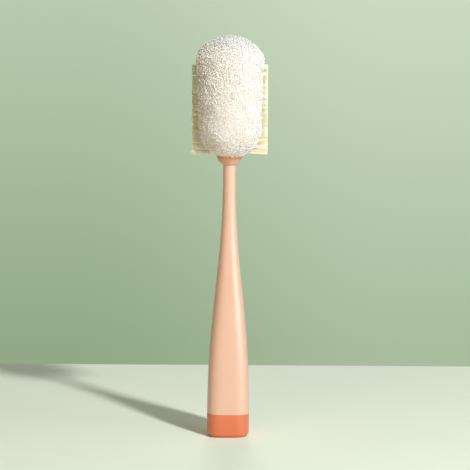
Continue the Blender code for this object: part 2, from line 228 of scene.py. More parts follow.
# Where pieces lie in their texture maps, from 0 to 1. MAP_RAIL is a low edge and a height, and MAP_ENDS holds
# half the width and half the height of the body's two flat ends.
MAP_SIDES = (0.01, 0.99)
MAP_WHOLE = (0.02, 0.98, 0.02, 0.98)
MAP_CURLS = (0.01, 0.5)
MAP_RUNS = (0.5, 0.75)
MAP_BODY = (0.77, 0.98)
MAP_STRANDS = 0.95
MAP_RAIL = (0.955, 0.04)
MAP_ENDS = (0.4, 0.004)
CELL_FILL = 0.9
RUN_FILL = 0.92

GOLDEN_ANGLE = math.pi * (3 - math.sqrt(5))
GOLDEN_SHARE = (math.sqrt(5) - 1) / 2

# The photographer's camera
CAMERA_DISTANCE = 2400 * MM
CAMERA_HEIGHT = 530 * MM
CAMERA_PITCH = math.radians(8.965)
CAMERA_SIDE = 4.4 * MM
CAMERA_ROLL = math.radians(0.35)
CAMERA_LENS = 249.9
CAMERA_SENSOR = 36
CAMERA_FAR = 50

# Colours of the brush
PEACH = (0.775, 0.505, 0.382, 1)
PEACH_DEEP = (0.765, 0.485, 0.355, 1)
# The cup's upper colour is painted shade: the shadow that the head casts on the cup.
CUP_RIM_PAINTED_SHADE = (0.660, 0.270, 0.115, 1)
ORANGE = (0.715, 0.200, 0.080, 1)
ORANGE_DEEP = (0.680, 0.175, 0.066, 1)
STRAW = (0.985, 0.990, 0.940, 1)
STRAW_DEEP = (0.900, 0.880, 0.500, 1)
WHITE = (0.992, 0.988, 0.972, 1)
# WHITE_WARM is both the warmer filament's own colour and the painted shade of the pad's body.
WHITE_WARM = (0.984, 0.968, 0.925, 1)
# The crown's colour is a painted shade that greys the top of the dome.
CROWN_PAINTED_SHADE = (0.870, 0.890, 0.875, 1)
NATURAL = (0.750, 0.750, 0.720, 1)
NATURAL_DEEP = (0.700, 0.700, 0.660, 1)
GREY = (0.550, 0.550, 0.530, 1)
GREY_DEEP = (0.480, 0.480, 0.460, 1)

# Gloss of the plastics, as an index of refraction
PEACH_GLOSS = 1.65
PLAIN_GLOSS = 1.5

# The heights below which handling has polished the handle and the cap, the part of the cup's height in which
# a painted shade, the head's shadow on the cup, fades in towards its top, and the part of the dome's height
# in which the crown's painted shade does
HANDLE_WEAR = 60 * MM
CAP_WEAR = 6 * MM
CUP_PAINTED_SHADE_FADE = (0.15, 0.85)
CROWN_SHADE_FADE = 0.8

# The floor: its far and near edges and half its width, its colours and how far its mottling darkens it, and
# the span in which it deepens towards the lamps
FLOOR_BACK = 265 * MM
FLOOR_FRONT = -1550 * MM
FLOOR_SIDE = 3000 * MM
FLOOR = (0.910, 1.000, 0.845, 1)
FLOOR_FAR = (0.280, 0.320, 0.260, 1)
FLOOR_BOUNCE = (0.690, 0.625, 0.510, 1)
FLOOR_MOTTLE = 0.97
FLOOR_FADE = (330 * MM, 1200 * MM)
TOWARDS_LAMPS = (0.35, -0.94, 0)

# The backdrop: its colours, the sines of the heights between which it pales upwards from WALL_LOW and then
# deepens again to WALL_HIGH, over what span and by how much it pales towards +X, and the cosines between
# which it dims to WALL_BEHIND behind the camera. The paling upwards and towards +X and the deepening at the
# top are painted light and shade.
WALL_PALE = (0.620, 0.733, 0.550, 1)
WALL_DEEP = (0.253, 0.354, 0.204, 1)
WALL_RISE = (math.sin(math.radians(-10.9)), math.sin(math.radians(-2.5)))
WALL_LOW = 0.25
WALL_FALL = (math.sin(math.radians(-1)), math.sin(math.radians(15)))
WALL_HIGH = 0.2
WALL_ACROSS = 0.05
WALL_TILT = 0.15
WALL_TURN = (math.cos(math.radians(100)), math.cos(math.radians(40)))
WALL_BEHIND = 0.5

# Soft light from all round
AMBIENT = (0.92, 1.0, 0.88, 1)
AMBIENT_STRENGTH = 0.10

# Square lamps that face the brush's middle. Azimuth 0 is the camera's side and 90 is +X, in degrees. The
# power is in watts. A lamp that isn't mirrored leaves no highlight.
Lamp = namedtuple("Lamp", "name azimuth elevation distance size power colour mirrored")
NEUTRAL = (1, 1, 1)
AMBER = (1, 0.77, 0.52)
LAMPS = (
    Lamp("key", 34, 40, 1800 * MM, 135 * MM, 25.5, NEUTRAL, True),
    Lamp("side", 62, 7, 3000 * MM, 1000 * MM, 17, NEUTRAL, True),
    Lamp("window", 38, 6, 3000 * MM, 350 * MM, 13.5, NEUTRAL, True),
    Lamp("fill", -24, 6, 1800 * MM, 1000 * MM, 10, AMBER, False),
    Lamp("back", 180, 6, 3000 * MM, 700 * MM, 70, NEUTRAL, False),
)


def spaced(start, end, steps):
    return [start + (end - start) * i / steps for i in range(steps + 1)]


def eased(share):
    """0 to 1 as share goes from 0 to 1, level at both ends."""
    return share * share * (3 - 2 * share)


def within(band, share):
    """The value at a share of the way along a (low, high) band."""
    return band[0] + (band[1] - band[0]) * share


class Arc:
    """A shallow arc between two (radius, height) points that bulges outwards, and the radius along it."""

    def __init__(self, low, high, bulge):
        chord = math.dist(low, high)
        self.reach = chord**2 / (8 * bulge) + bulge / 2
        back = (self.reach - bulge) / chord
        self.radius = (low[0] + high[0]) / 2 - (high[1] - low[1]) * back
        self.height = (low[1] + high[1]) / 2 + (high[0] - low[0]) * back
        self.low = low[1]
        self.high = high[1]

    def at(self, height):
        return self.radius + math.sqrt(self.reach**2 - (height - self.height) ** 2)


def taper(height):
    """0 at the base and 1 at the neck, level at both ends."""
    share = min(max(height / HANDLE_TOP, 0), 1) ** TAPER_BIAS
    return share**3 * (share * (share * 6 - 15) + 10)


def half_width(height):
    return (BASE_WIDTH + (NECK_DIAMETER - BASE_WIDTH) * taper(height)) / 2


def section(height, reach, sides=144):
    """One ring of the handle: a superellipse, squarer towards the base."""
    power = ROUND + (BASE_SQUARENESS - ROUND) * (1 - taper(height))
    angle = math.tau * np.arange(sides) / sides
    across, along = np.cos(angle), np.sin(angle)
    reach = reach / (abs(across) ** power + abs(along) ** power) ** (1 / power)
    return np.stack([reach * across, reach * along, np.full(sides, height)], -1)


def circle(height, radius, sides=96):
    angle = math.tau * np.arange(sides) / sides
    return np.stack([radius * np.cos(angle), radius * np.sin(angle), np.full(sides, height)], -1)


def fillet(steps=6):
    """(drop, inset) shares of a quarter round, from its flat end to its upright end."""
    return [(1 - math.cos(a), 1 - math.sin(a)) for a in spaced(0, math.pi / 2, steps)]


def show(obj):
    bpy.context.scene.collection.objects.link(obj)
    return obj


def loft(name, rings, closed):
    """A skin through rings of equal counts. A closed loft joins its last ring to its first, and an open one
    is capped."""
    rings = np.array(rings)
    count, sides = rings.shape[:2]
    low = np.arange(count if closed else count - 1)[:, None]
    high = (low + 1) % count
    here = np.arange(sides)
    there = (here + 1) % sides
    quads = np.stack([low * sides + here, low * sides + there, high * sides + there, high * sides + here], -1)
    faces = quads.reshape(-1, 4).tolist()
    if not closed:
        faces.append(list(range(sides)))
        faces.append(list(range((count - 1) * sides, count * sides)))
    mesh = bpy.data.meshes.new(name)
    mesh.from_pydata(rings.reshape(-1, 3).tolist(), [], faces)
    bm = bmesh.new()
    bm.from_mesh(mesh)
    bmesh.ops.recalc_face_normals(bm, faces=bm.faces)
    bm.to_mesh(mesh)
    bm.free()
    mesh.shade_smooth()
    mesh.set_sharp_from_angle(angle=LOFT_SHARP)
    return show(bpy.data.objects.new(name, mesh))


def make_handle():
    bore_bottom = HANDLE_TOP - BORE_LENGTH
    rings = []
    for drop, inset in fillet():
        height = SHELL_BOTTOM + HANDLE_EDGE * drop
        rings.append(section(height, half_width(height) - HANDLE_EDGE * inset))
    for height in spaced(SHELL_BOTTOM + HANDLE_EDGE, HANDLE_TOP - HANDLE_EDGE, HANDLE_RINGS)[1:-1]:
        rings.append(section(height, half_width(height)))
    for drop, inset in reversed(fillet()):
        height = HANDLE_TOP - HANDLE_EDGE * drop
        rings.append(section(height, half_width(height) - HANDLE_EDGE * inset))
    rings.append(section(HANDLE_TOP, COUNTERBORE_RADIUS))
    rings.append(section(HANDLE_TOP - COUNTERBORE_DEPTH, COUNTERBORE_RADIUS))
    rings.append(section(HANDLE_TOP - COUNTERBORE_DEPTH, BORE_RADIUS))
    rings.append(section(bore_bottom, BORE_RADIUS))
    for height in spaced(bore_bottom - HANDLE_WALL, SHELL_BOTTOM, HOLLOW_RINGS):
        rings.append(section(height, max(half_width(height) - HANDLE_WALL, BORE_RADIUS)))
    return loft("handle", rings, closed=True)


def skirt_half_width(height):
    return half_width(height) - HANDLE_WALL - RUNNING_GAP


def make_base_cap():
    skirt_top = CAP_HEIGHT + SKIRT_HEIGHT
    groove_middle = CAP_HEIGHT + SKIRT_HEIGHT / 2
    groove_half = CAP_SEAL_DIAMETER / 2 + SEAT_GAP
    groove_depth = CAP_SEAL_DIAMETER + SEAT_GAP
    rings = []
    for drop, inset in fillet(CAP_FILLET_RINGS):
        height = CAP_FILLET * drop
        rings.append(section(height, half_width(height) - CAP_FILLET * inset))
    for height in spaced(CAP_FILLET, CAP_HEIGHT - CAP_EDGE, CAP_RINGS)[1:-1]:
        rings.append(section(height, half_width(height)))
    for drop, inset in reversed(fillet()):
        height = CAP_HEIGHT - CAP_EDGE * drop
        rings.append(section(height, half_width(height) - CAP_EDGE * inset))
    rings.append(section(CAP_HEIGHT, skirt_half_width(CAP_HEIGHT)))
    for side in (-1, 1):
        height = groove_middle + side * groove_half
        for inset in (0, groove_depth)[::-side]:
            rings.append(section(height, skirt_half_width(height) - inset))
    rings.append(section(skirt_top - SKIRT_CHAMFER, skirt_half_width(skirt_top)))
    rings.append(section(skirt_top, skirt_half_width(skirt_top) - SKIRT_CHAMFER))
    rings.append(section(skirt_top, skirt_half_width(skirt_top) - SKIRT_WALL))
    rings.append(section(CAP_WALL, skirt_half_width(CAP_HEIGHT) - SKIRT_WALL))
    return loft("base_cap", rings, closed=False)


def make_ring(name, outline, middle, reach, radius):
    """A rubber ring along an outline, which is section or circle. reach is from the axis to the middle of the
    rubber."""
    rings = []
    for angle in spaced(0, math.tau, SEAL_SIDES)[:-1]:
        rings.append(outline(middle + radius * math.sin(angle), reach + radius * math.cos(angle)))
    return loft(name, rings, closed=True)


def make_cap_ring():
    """The ring in the skirt's groove, which follows the skirt's outline."""
    middle = CAP_HEIGHT + SKIRT_HEIGHT / 2
    radius = CAP_SEAL_DIAMETER / 2
    reach = skirt_half_width(middle) + RUNNING_GAP - SEAT_GAP - radius
    return make_ring("cap_ring", section, middle, reach, radius)


def make_neck_ring():
    """The ring in the neck's counterbore."""
    radius = NECK_SEAL_DIAMETER / 2
    middle = HANDLE_TOP - COUNTERBORE_DEPTH + SEAT_GAP + radius
    return make_ring("neck_ring", circle, middle, BORE_RADIUS + radius, radius)


def cup_outline():
    low = (CUP_FOOT_DIAMETER / 2, CUP_FOOT + CUP_EDGE)
    high = (CUP_RIM, HEAD_BOTTOM + CUP_HEIGHT - CUP_EDGE)
    return Arc(low, high, CUP_BULGE)


def make_cup():
    bowl = cup_outline()
    top = HEAD_BOTTOM + CUP_HEIGHT
    floor = HEAD_BOTTOM + CUP_FLOOR
    foot = bowl.at(bowl.low)
    foot_edge = reversed(fillet())
    outside = spaced(bowl.high, bowl.low, BOWL_RINGS)[1:]
    inside = spaced(floor, bowl.high, BOWL_INSIDE_RINGS)
    profile = [(CUP_RIM - CUP_EDGE * inset, top - CUP_EDGE * drop) for drop, inset in fillet()]
    profile += [(bowl.at(height), height) for height in outside]
    profile += [(foot - CUP_EDGE * inset, CUP_FOOT + CUP_EDGE * drop) for drop, inset in foot_edge][1:]
    profile += [(BORE_RADIUS, CUP_FOOT), (BORE_RADIUS, floor)]
    profile += [(bowl.at(height) - CUP_WALL, height) for height in inside]
    profile.append((CUP_RIM - CUP_WALL, top))
    return loft("cup", [circle(height, radius) for radius, height in profile], closed=True)


class Strands:
    """Thin strands gathered into one mesh. Each is a closed tube with its own tone and its own cell of the
    map."""

    def __init__(self, sides=3):
        self.sides = sides
        self.points, self.tones, self.corners, self.sizes, self.maps = [], [], [], [], []
        self.total = 0

    def add(self, path, up, radius, tone, cell):
        """A tube along path, an (n, 3) array. up, a direction for each point, keeps it from twisting. cell is
        the strand's (low u, high u, low v, high v) in the map."""
        count, sides = len(path), self.sides
        ahead = np.gradient(path, axis=0)
        side = np.cross(up, ahead)
        side /= np.linalg.norm(side, axis=1)[:, None]
        rise = np.cross(ahead, side)
        rise /= np.linalg.norm(rise, axis=1)[:, None]
        angle = math.tau * np.arange(sides) / sides
        spoke = side[:, None] * np.cos(angle)[:, None] + rise[:, None] * np.sin(angle)[:, None]
        ring = path[:, None] + spoke * np.broadcast_to(radius, count)[:, None, None]
        i, j = np.meshgrid(np.arange(count - 1), np.arange(sides), indexing="ij")
        u = cell[0] + (cell[1] - cell[0]) * np.arange(count) / (count - 1)
        v = cell[2] + (cell[3] - cell[2]) * np.arange(sides + 1) / sides
        steps = [(i, j), (i, j + 1), (i + 1, j + 1), (i + 1, j)]
        quads = np.stack([a * sides + b % sides for a, b in steps], -1).reshape(-1, 4) + self.total
        maps = np.stack([np.stack([u[a], v[b]], -1) for a, b in steps], -2).reshape(-1, 2)
        self.push(ring.reshape(-1, 3), np.repeat(np.broadcast_to(tone, count), sides), quads, maps)
        turn = np.arange(sides)
        for end, way in ((0, -1), (count - 1, 1)):
            cap = (end * sides + turn[::way])[None] + self.total - count * sides
            tip = u[end] - way * (u[1] - u[0]) * (turn % 2)
            self.push(None, None, cap, np.stack([tip, v[:-1]], -1))

    def push(self, points, tone, faces, maps):
        """Adds points, and faces of one size by their points' numbers in the whole mesh."""
        if points is not None:
            self.points.append(points)
            self.tones.append(np.broadcast_to(tone, len(points)))
            self.total += len(points)
        self.corners.append(faces.ravel())
        self.sizes.append(np.full(len(faces), faces.shape[1]))
        self.maps.append(maps)

    def build(self, name):
        points = np.concatenate(self.points)
        corners = np.concatenate(self.corners)
        sizes = np.concatenate(self.sizes)
        mesh = bpy.data.meshes.new(name)
        mesh.vertices.add(len(points))
        mesh.vertices.foreach_set("co", points.astype(np.float32).ravel())
        mesh.loops.add(len(corners))
        mesh.loops.foreach_set("vertex_index", corners.astype(np.int32))
        mesh.polygons.add(len(sizes))
        mesh.polygons.foreach_set("loop_start", (np.cumsum(sizes) - sizes).astype(np.int32))
        mesh.update(calc_edges=True)
        tone = mesh.attributes.new("tone", "FLOAT", "POINT")
        tone.data.foreach_set("value", np.concatenate(self.tones).astype(np.float32))
        uv = mesh.uv_layers.new(name="OFBake")
        uv.uv.foreach_set("vector", np.concatenate(self.maps).astype(np.float32).ravel())
        mesh.validate()
        mesh.shade_smooth()
        mesh.set_sharp_from_angle(angle=STRAND_SHARP)
        return show(bpy.data.objects.new(name, mesh))


def drift(rng, count, spacing):
    """Smooth random values from -1 to 1, with a new one about every spacing steps."""
    knots = rng.uniform(-1, 1, int(count / spacing) + 3)
    place = np.linspace(0, len(knots) - 1.001, count)
    low = place.astype(int)
    share = eased(place - low)
    return knots[low] * (1 - share) + knots[low + 1] * share


def make_thread():
    """The thread's crest, wound round the stud and thinned at its ends."""
    strands = Strands(sides=8)
    low = STUD_END + THREAD_PITCH / 2
    high = HEAD_BOTTOM - THREAD_PITCH / 4
    turns = (high - low) / THREAD_PITCH
    angle = np.linspace(0, math.tau * turns, THREAD_STEPS)
    reach = THREAD_CREST - THREAD_RADIUS
    path = np.stack([reach * np.cos(angle), reach * np.sin(angle), np.linspace(low, high, THREAD_STEPS)], -1)
    up = np.tile([0.0, 0.0, 1.0], (THREAD_STEPS, 1))
    step = np.arange(THREAD_STEPS)
    ends = np.minimum(1, np.minimum(step, step[::-1]) / THREAD_FADE)
    strands.add(path, up, THREAD_RADIUS * (THREAD_TIP + (1 - THREAD_TIP) * ends), 0.5, MAP_WHOLE)
    return strands.build("stud_thread")


def add_rail(strands, side):
    """The rail that a row's tufts stand in, as a prism on the map's spare edge."""
    half = CORE_THICKNESS / 2
    outline = [(RAIL_INSIDE, -half), (RAIL_OUTSIDE, -half), (RAIL_OUTSIDE, half), (RAIL_INSIDE, half)]
    points = np.array([(side * x, side * y, z) for z in (RAIL_BOTTOM, RAIL_TOP) for x, y in outline])
    faces = np.array([(0, 1, 5, 4), (1, 2, 6, 5), (2, 3, 7, 6), (3, 0, 4, 7), (3, 2, 1, 0), (4, 5, 6, 7)])
    corner = np.array([(0, 0), (1, 0), (1, 1), (0, 1)]) * CELL_FILL
    cell = (1 / len(faces), MAP_RAIL[1])
    maps = [(corner + (i, 0)) * cell + (0, MAP_RAIL[0]) for i in range(len(faces))]
    strands.push(points, RAIL_TONE, faces + strands.total, np.concatenate(maps))


def make_bristles(name, side, seed):
    """A row of tufts that fan out from their rail and are trimmed to one plane."""
    rng = np.random.default_rng(seed)
    strands = Strands()
    pitch = (RAIL_TOP - RAIL_BOTTOM) / TUFTS
    root_reach = TUFT_DIAMETER / 2 - STRAND_RADIUS
    fan_across = TUFT_FAN / 2 - STRAND_RADIUS
    fan_up = (pitch + TUFT_OVERLAP) / 2 - STRAND_RADIUS
    cells = math.ceil(math.sqrt(TUFTS * TUFT_STRANDS))
    low, high = RAIL_BOTTOM + STRAND_RADIUS, RAIL_TOP - STRAND_RADIUS
    root_x = RAIL_OUTSIDE - BRISTLE_ROOT
    fan = STRAND_WALK**FAN_CURVE
    bow = np.sin(math.pi * STRAND_WALK * STRAND_BOW)
    up = np.tile([0.0, 0.0, 1.0], (len(STRAND_WALK), 1))
    for tuft in range(TUFTS):
        height = RAIL_BOTTOM + pitch * (tuft + 0.5)
        tuft_tone = rng.uniform(-TUFT_TONE, TUFT_TONE)
        stray = rng.normal(0, TUFT_STRAY) * (0 < tuft < TUFTS - 1)
        for i in range(TUFT_STRANDS):
            out = math.sqrt((i + 0.5) / TUFT_STRANDS)
            y, z = out * math.cos(i * GOLDEN_ANGLE), out * math.sin(i * GOLDEN_ANGLE)
            tip_y = fan_across * y + rng.normal(0, TIP_SCATTER)
            tip_z = min(max(height + stray + fan_up * z + rng.normal(0, TIP_SCATTER), low), high)
            tip_x = BRISTLE_REACH - abs(rng.normal(0, TRIM_SCATTER))
            bend_y, bend_z = rng.normal(0, STRAND_BEND, 2)
            root_y, root_z = root_reach * y, height + root_reach * z
            path_x = root_x + (tip_x - root_x) * STRAND_WALK
            path_y = root_y + (tip_y - root_y) * fan + bend_y * bow * STRAND_WALK
            path_z = np.clip(root_z + (tip_z - root_z) * fan + bend_z * bow * STRAND_WALK, low, high)
            path = np.stack([side * path_x, side * path_y, path_z], -1)
            column, row = divmod(tuft * TUFT_STRANDS + i, cells)
            low_v, high_v = row * MAP_STRANDS / cells, (row + CELL_FILL) * MAP_STRANDS / cells
            cell = (column / cells, (column + CELL_FILL) / cells, low_v, high_v)
            tone = min(max(STRAND_TONE[0] + tuft_tone + rng.normal(0, STRAND_TONE[1]), 0), 1)
            strands.add(path, up, STRAND_RADIUS * (1 - STRAND_TAPER * STRAND_WALK), tone, cell)
    add_rail(strands, side)
    return strands.build(name)


def pad_outline():
    """(radius, height) points down the outside of the closed pads, from the crown to the cup's rim."""
    dome_low = PAD_TOP - DOME_HEIGHT
    hem = (CUP_RIM + HEM_REACH, RAIL_BOTTOM - HEM_DROP)
    shoulder = Arc(hem, (PAD_FOOT, RAIL_BOTTOM + SHOULDER_HEIGHT), SHOULDER_BULGE)
    points = []
    for a in spaced(0, math.pi / 2, DOME_STEPS):
        slim = 1 - CROWN_SLIM * math.sin(2 * a) ** 2
        points.append((PAD_CROWN * slim * math.sin(a), dome_low + DOME_HEIGHT * math.cos(a)))
    for share in spaced(0, 1, SIDE_STEPS)[1:-1]:
        radius = PAD_CROWN + (PAD_FOOT - PAD_CROWN) * share
        points.append((radius, dome_low + (shoulder.high - dome_low) * share))
    heights = spaced(shoulder.high, shoulder.low, SHOULDER_STEPS)
    return points + [(shoulder.at(height), height) for height in heights]


class Skin:
    """The outside of the closed pads, walked from the crown down and round from +X."""

    def __init__(self):
        self.radius, self.height = np.array(pad_outline()).T
        steps = np.hypot(np.diff(self.radius), np.diff(self.height))
        self.along = np.concatenate([[0], np.cumsum(steps)])
        self.length = self.along[-1]
        self.rise = np.gradient(self.radius, self.along)
        self.lean = -np.gradient(self.height, self.along)
        self.slots = self.slot(self.along)
        rng = np.random.default_rng(SEED)
        self.waves = rng.normal(0, 1, (LUMP_WAVES, 3))
        self.waves *= (math.tau / LUMP_LENGTH) / np.linalg.norm(self.waves, axis=1)[:, None]
        self.phases = rng.uniform(0, math.tau, LUMP_WAVES)

    def at(self, along, angle, side):
        """Points on the skin, and the directions across, down and out there. side is the sign of Y."""
        radius = np.interp(along, self.along, self.radius)
        height = np.interp(along, self.along, self.height)
        rise = np.interp(along, self.along, self.rise)
        lean = np.interp(along, self.along, self.lean)
        c, s = np.cos(angle), np.sin(angle) * side
        flat = np.zeros_like(c)
        point = np.stack([radius * c, radius * s, height], -1)
        across = np.stack([-np.sin(angle), np.cos(angle) * side, flat], -1)
        out = np.stack([lean * c, lean * s, rise], -1)
        down = np.stack([rise * c, rise * s, -lean], -1)
        return point + self.lumps(point)[..., None] * out, across, down, out

    def lumps(self, point):
        """Slow swells of the skin, in metres."""
        return LUMP * np.sin(point @ self.waves.T + self.phases).mean(-1) * LUMP_GAIN

    def slot(self, along):
        """Half the width that the pads leave between them at their outside, for the bristle row."""
        radius = np.interp(along, self.along, self.radius)
        height = np.interp(along, self.along, self.height)
        near = CORE_THICKNESS / 2 + SEAT_GAP
        spread = (radius - RAIL_OUTSIDE) / (BRISTLE_REACH - RAIL_OUTSIDE)
        beside = near + (TUFT_FAN / 2 + SEAT_GAP - near) * np.clip(spread, 0, 1)
        over = np.clip((height - RAIL_TOP) / SLOT_FADE, 0, 1)
        return beside * (1 - eased(over)) + SEAT_GAP / 2


def add_run(strands, skin, side, rng, row, cell):
    """One run of filament across the pad, row metres down the skin, that winds in small loops all the way."""
    radius = np.interp(row, skin.along, skin.radius)
    edge = np.interp(row, skin.along, skin.slots) + LOOP_REACH / 2
    start = math.asin(min(1, edge / radius)) if radius > edge else math.pi / 2
    length = (math.pi - 2 * start) * radius
    turns = max(length / LOOP_PITCH, 1)
    count = int(turns * LOOP_STEPS)
    walk = np.linspace(0, 1, count)

    def wander(amount, loops):
        """A smooth drift by up to amount, with a new aim after that many loops."""
        return amount * drift(rng, count, loops * LOOP_STEPS)

    way = rng.choice((-1, 1))
    phase = way * (math.tau * (turns * walk + rng.uniform()) + wander(1.5, loops=2))
    reach = LOOP_REACH * (1 + wander(0.30, loops=1.3))
    sway = RUN_SPACING * (wander(0.6, loops=1.8) + wander(0.4, loops=6))
    angle = start + (math.pi - 2 * start) * walk
    margin = min(row, skin.length - row)
    slope = RUN_SLOPE * min(1, margin / RUN_LEVEL) * (angle / (math.pi / 2) - 1)
    place = np.clip(row + slope + sway, CROWN_CLEAR, skin.length - HEM_CLEAR * LOOP_REACH)
    point, across, down, out = skin.at(place, angle, side)
    lean = phase + wander(3, loops=3)
    depth = LOOP_DEPTH + LOOP_SWING * (wander(0.45, loops=0.8) + 0.65 * np.sin(lean))
    slip = wander(0.5 * LOOP_PITCH, loops=1.6)
    point += across * (reach * np.cos(phase) + slip)[:, None]
    point += down * (reach * np.sin(phase))[:, None]
    point -= out * depth[:, None]
    wide = LOOP_RADIUS * (1 + wander(0.18, loops=2))
    tone = FILAMENT_TONE + wander(0.35, loops=1.5)
    strands.add(point, out, wide, tone, cell)


def add_runs(strands, skin, side, rng):
    """The layer of filament over the body, in runs one below the other."""
    rows = np.arange(RUN_SPACING / 2, skin.length, RUN_SPACING)
    for k, row in enumerate(rows):
        low, high = within(MAP_RUNS, k / len(rows)), within(MAP_RUNS, (k + RUN_FILL) / len(rows))
        add_run(strands, skin, side, rng, row, (*MAP_SIDES, low, high))


def add_curls(strands, skin, side, rng):
    """Short curls of filament strewn evenly over the pad, each leaning its own way. They lie flatter on the
    crown."""
    edge = skin.slots + CURL_EDGE * CURL_REACH[0]
    start = np.arcsin(np.minimum(1, edge / np.maximum(skin.radius, edge)))
    width = (math.pi - 2 * start) * skin.radius
    area = np.concatenate([[0], np.cumsum((width[1:] + width[:-1]) / 2 * np.diff(skin.along))])
    number = np.arange(CURLS)
    order = number + rng.uniform(-CURL_STRAY[0], CURL_STRAY[0], CURLS)
    along = np.interp(order / CURLS * area[-1], area, skin.along)
    along = np.clip(along, CURL_REACH[0], skin.length - HEM_CLEAR * CURL_REACH[1])
    lead = (number * GOLDEN_SHARE + rng.normal(0, CURL_STRAY[1], CURLS)) % 1
    first = np.interp(along, skin.along, start)
    point, across, down, out = skin.at(along, first + (math.pi - 2 * first) * lead, side)
    depth = rng.uniform(*CURL_DEPTH, CURLS) - FUZZ * (rng.random(CURLS) < FUZZ_SHARE)
    loose = 1 - CROWN_TIGHT * np.clip((point[:, 2] - PAD_TOP) / DOME_HEIGHT + 1, 0, 1)
    point -= out * (depth * loose)[:, None]
    way = rng.uniform(0, math.tau, CURLS)[:, None]
    lean = (loose * rng.normal(0, CURL_LEAN, CURLS))[:, None]
    axis = out * np.cos(lean) + (across * np.cos(way) + down * np.sin(way)) * np.sin(lean)
    one = np.cross(axis, down)
    one /= np.linalg.norm(one, axis=1)[:, None]
    two = np.cross(axis, one)
    reach = rng.uniform(*CURL_REACH, CURLS)
    slim = rng.uniform(*CURL_SLIM, CURLS)
    spin = rng.uniform(0, math.tau, CURLS)
    walk = np.linspace(-0.5, 0.5, CURL_STEPS)
    cells = math.ceil(math.sqrt(CURLS))
    for i in range(CURLS):
        turn = spin[i] + math.tau * CURL_TURNS * walk
        path = point[i] + one[i] * (reach[i] * np.cos(turn))[:, None]
        path += two[i] * (slim[i] * reach[i] * np.sin(turn))[:, None]
        path += axis[i] * (2 * CURL_RADIUS * walk)[:, None]
        row, column = divmod(i, cells)
        left, right = within(MAP_SIDES, column / cells), within(MAP_SIDES, (column + CELL_FILL) / cells)
        low, high = within(MAP_CURLS, row / cells), within(MAP_CURLS, (row + CELL_FILL) / cells)
        tone = min(max(rng.normal(FILAMENT_TONE, CURL_TONE), 0), 1)
        strands.add(path, np.tile(axis[i], (CURL_STEPS, 1)), CURL_RADIUS, tone, (left, right, low, high))


def dents(points):
    """Depths of the open cells in the pad's body, in metres: 0 on the walls between cells."""
    found = []
    for point in points.reshape(-1, 3):
        near, far = noise.voronoi(Vector(point) / CELL)[0][:2]
        found.append(min((far - near) / CELL_WALL, 1))
    return CELL_DEPTH * np.array(found).reshape(points.shape[:-1])


def body_outside(skin, side):
    """Rings of the body's dented outside from the crown down, then of the smooth tail in the cup."""
    rings = []
    for along in np.arange(BODY_TOP, skin.length, BODY_STEP):
        radius = np.interp(along, skin.along, skin.radius)
        start = math.asin(min(0.98, (float(skin.slot(along)) + BODY_EDGE) / radius))
        angle = np.linspace(start, math.pi - start, BODY_AROUND)
        point, *_, out = skin.at(np.full(BODY_AROUND, along), angle, side)
        rings.append(point - out * (BODY_DEPTH + dents(point))[:, None])
    bowl = cup_outline()
    angle = np.linspace(TAIL_ANGLE, math.pi - TAIL_ANGLE, BODY_AROUND)
    for height in spaced(RAIL_BOTTOM, RAIL_BOTTOM - PAD_TAIL, TAIL_STEPS):
        radius = bowl.at(min(height, bowl.high)) - CUP_WALL - SEAT_GAP
        level = np.full(BODY_AROUND, height)
        rings.append(np.stack([radius * np.cos(angle), side * radius * np.sin(angle), level], -1))
    return rings


def add_body(strands, skin, side):
    """The pad's body under the filament, with a flat back that faces the core."""
    whole = []
    for ring in body_outside(skin, side):
        height = ring[:, 2].mean()
        if height > CORE_TOP + BODY_DEPTH:
            clear = SEAT_GAP / 2
        elif height < RAIL_BOTTOM + STEM_FAIRING + SEAT_GAP:
            clear = STEM_DIAMETER / 2 + SEAT_GAP
        else:
            clear = CORE_THICKNESS / 2 + SEAT_GAP
        back = np.linspace(ring[-1], ring[0], BODY_BACK + 2)[1:-1]
        back[:, 1] = side * clear
        back[:, 2] = height
        whole.append(np.concatenate([ring, back]))
    whole = np.array(whole)
    count, sides = whole.shape[:2]
    i, j = np.meshgrid(np.arange(count - 1), np.arange(sides), indexing="ij")
    steps = [(i, j), (i + 1, j), (i + 1, j + 1), (i, j + 1)][::side]
    faces = np.stack([a * sides + b % sides for a, b in steps], -1).reshape(-1, 4) + strands.total
    u, v = np.linspace(*MAP_SIDES, sides + 1), np.linspace(*MAP_BODY, count)
    maps = np.stack([np.stack([u[b], v[a]], -1) for a, b in steps], -2).reshape(-1, 2)
    # The body's low tone paints a warmer shade deep under the filament.
    strands.push(whole.reshape(-1, 3), BODY_SHADE_TONE, faces, maps)
    turn = np.arange(sides)
    angle = math.tau * turn / sides
    for end, way in ((0, side), (count - 1, -side)):
        cap = (end * sides + turn[::way])[None] + strands.total - count * sides
        spot = [0.5 + MAP_ENDS[0] * np.cos(angle), v[end] + MAP_ENDS[1] * (1 + np.sin(angle))]
        strands.push(None, None, cap, np.stack(spot, -1))


def make_pad(name, side, seed):
    rng = np.random.default_rng(seed)
    skin = Skin()
    strands = Strands()
    add_curls(strands, skin, side, rng)
    add_runs(strands, skin, side, rng)
    add_body(strands, skin, side)
    return strands.build(name)


